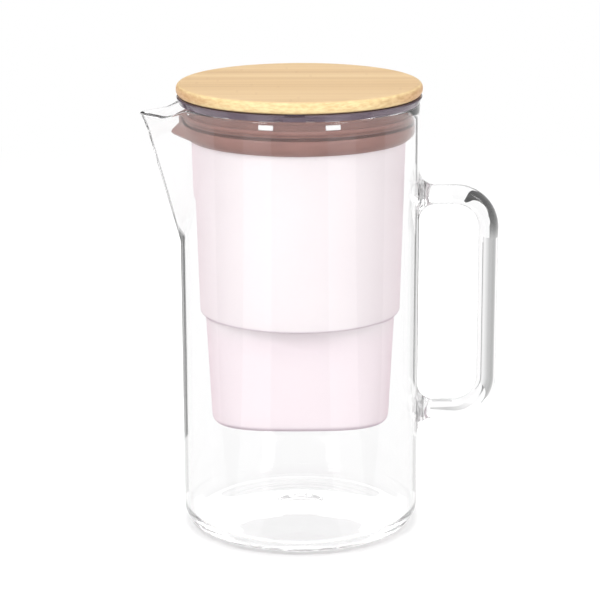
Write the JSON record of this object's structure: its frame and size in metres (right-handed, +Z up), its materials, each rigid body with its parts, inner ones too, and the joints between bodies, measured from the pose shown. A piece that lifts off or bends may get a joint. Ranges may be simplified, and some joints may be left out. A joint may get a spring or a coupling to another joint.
{
  "type": "water filter pitcher",
  "caption": "Glass filter pitcher with a V spout, a glass rod handle, a frosted hopper in a brown silicone collar and a hinged bamboo lid.",
  "frame": {"origin": "centre of the flat underside that the jug stands on, on the jug's axis", "axes": "+Z up along the jug's axis, +X towards the handle with the spout at -X, +Y towards the lid's hinge"},
  "size_m": [0.1795, 0.1226, 0.2282],
  "materials": {
    "clear_glass": "clear polished borosilicate",
    "frosted_plastic": "frosted translucent plastic, faintly pink",
    "smoked_plastic": "smoked clear plastic",
    "brown_silicone": "satin silicone",
    "bamboo": "sanded and oiled bamboo",
    "steel": "satin",
    "white_plastic": "moulded",
    "white_silicone": "satin silicone",
    "filter_felt": "needled felt",
    "woven_mesh": "fine woven screen",
    "carbon": "loose black granules",
    "resin": "loose amber beads"
  },
  "bodies": {
    "jug": {"glass_body": "clear_glass", "glass_handle": "clear_glass"},
    "hopper_unit": {"hopper": "frosted_plastic", "collar_seal": "brown_silicone", "lid_frame": "smoked_plastic", "hinge_pin": "steel"},
    "lid": {"bamboo_board": "bamboo", "lid_plate": "smoked_plastic", "lid_gasket": "white_silicone", "lid_screws": "steel"},
    "cartridge": {"cartridge_shell": "white_plastic", "cartridge_cap": "white_plastic", "cartridge_seal": "white_silicone", "inlet_mesh": "woven_mesh", "outlet_mesh": "woven_mesh", "felt_top": "filter_felt", "felt_middle": "filter_felt", "felt_bottom": "filter_felt", "carbon_bed": "carbon", "resin_bed": "resin"}
  },
  "joints": [
    {"name": "hopper_lift", "type": "slide", "parent": "jug", "child": "hopper_unit", "axis": [0, 0, 1], "range_m": [0, 0.19]},
    {"name": "lid_hinge", "type": "hinge", "parent": "hopper_unit", "child": "lid", "pos_m": [0, 0.0592, 0.2202], "axis": [-1, 0, 0], "range_deg": [0, 100]},
    {"name": "cartridge_lift", "type": "slide", "parent": "hopper_unit", "child": "cartridge", "axis": [0, 0, 1], "range_m": [0, 0.075]}
  ]
}
